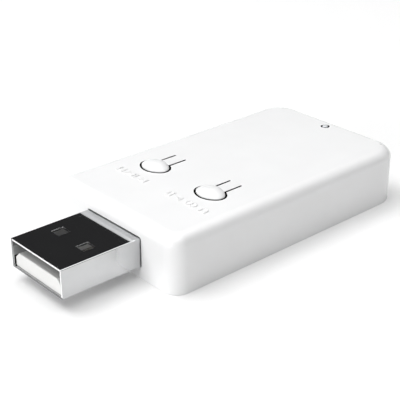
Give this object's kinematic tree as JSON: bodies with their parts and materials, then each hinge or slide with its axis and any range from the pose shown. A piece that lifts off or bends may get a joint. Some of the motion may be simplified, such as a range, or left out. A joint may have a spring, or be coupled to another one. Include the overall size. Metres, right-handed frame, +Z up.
{
  "type": "bluetooth audio receiver",
  "caption": "Stick-shaped wireless audio receiver: flat white housing on a USB-A plug, with oval push buttons on moulded tongues, a status light and a rear headphone jack.",
  "frame": {"origin": "middle of the whole object on the surface that it lies on, under the housing's centreline", "axes": "+Z up through the button face, the USB plug points along -Y and the headphone jack along +Y, +X to the right when looking along +Y"},
  "size_m": [0.0274, 0.061, 0.0098],
  "materials": {
    "housing_white": "satin-gloss white moulded plastic with rolled edges",
    "plug_metal": "mirror-bright nickel-plated sheet steel",
    "insulator_white": "smooth white moulded nylon",
    "contact_plating": "pale nickel-flashed spring brass",
    "board_green": "green solder-masked fibreglass board",
    "switch_black": "black moulded switch plastic",
    "switch_steel": "thin stamped steel",
    "chip_black": "black moulded chip package",
    "jack_black": "black moulded jack body, fine grain",
    "light_guide": "clear moulded acrylic, frosted at the top",
    "inductor_grey": "dark grey ferrite",
    "antenna_ceramic": "white ceramic block with plated ends",
    "led_lens": "clear epoxy over a white body",
    "capacitor_tan": "tan ceramic body with tinned ends",
    "resistor_black": "black film body with tinned ends"
  },
  "bodies": {
    "housing": {"top_shell": "housing_white", "base_plate": "housing_white", "light_pipe": "light_guide", "usb_shell": "plug_metal", "usb_insulator": "insulator_white", "usb_power_contact": "contact_plating", "usb_data_minus_contact": "contact_plating", "usb_data_plus_contact": "contact_plating", "usb_ground_contact": "contact_plating", "circuit_board": "board_green", "jack_body": "jack_black", "jack_tip_contact": "contact_plating", "jack_ring_contact": "contact_plating", "jack_sleeve_contact": "contact_plating", "bluetooth_chip": "chip_black", "flash_memory_chip": "chip_black", "headphone_amplifier": "chip_black", "voltage_regulator": "chip_black", "crystal_oscillator": "switch_steel", "power_inductor": "inductor_grey", "chip_antenna": "antenna_ceramic", "status_led": "led_lens", "capacitors": "capacitor_tan", "resistors": "resistor_black", "play_switch_base": "switch_black", "play_switch_terminals": "switch_steel", "play_snap_dome": "switch_steel", "play_switch_cover": "switch_steel", "connect_switch_base": "switch_black", "connect_switch_terminals": "switch_steel", "connect_snap_dome": "switch_steel", "connect_switch_cover": "switch_steel"},
    "connect_button": {"connect_button": "housing_white"},
    "connect_plunger": {"connect_plunger": "switch_black"},
    "play_button": {"play_button": "housing_white"},
    "play_plunger": {"play_plunger": "switch_black"}
  },
  "joints": [
    {"name": "play_button_press", "type": "hinge", "parent": "housing", "child": "play_button", "pos_m": [-0.00647, 0.0011, 0.00845], "axis": [1, 0, 0], "range_deg": [0, 3.2], "stiffness_Nm_per_rad": 0.15},
    {"name": "play_plunger_travel", "type": "slide", "parent": "housing", "child": "play_plunger", "axis": [0, 0, -1], "range_m": [0, 0.00024], "deforming": ["play_snap_dome"]},
    {"name": "connect_button_press", "type": "hinge", "parent": "housing", "child": "connect_button", "pos_m": [0.00601, 0.0011, 0.00845], "axis": [1, 0, 0], "range_deg": [0, 3.2], "stiffness_Nm_per_rad": 0.15},
    {"name": "connect_plunger_travel", "type": "slide", "parent": "housing", "child": "connect_plunger", "axis": [0, 0, -1], "range_m": [0, 0.00024], "deforming": ["connect_snap_dome"]}
  ],
  "couplings": [
    {"joint": "play_plunger_travel", "follows": "play_button_press", "m_per_rad": 0.0042},
    {"joint": "connect_plunger_travel", "follows": "connect_button_press", "m_per_rad": 0.0042}
  ]
}
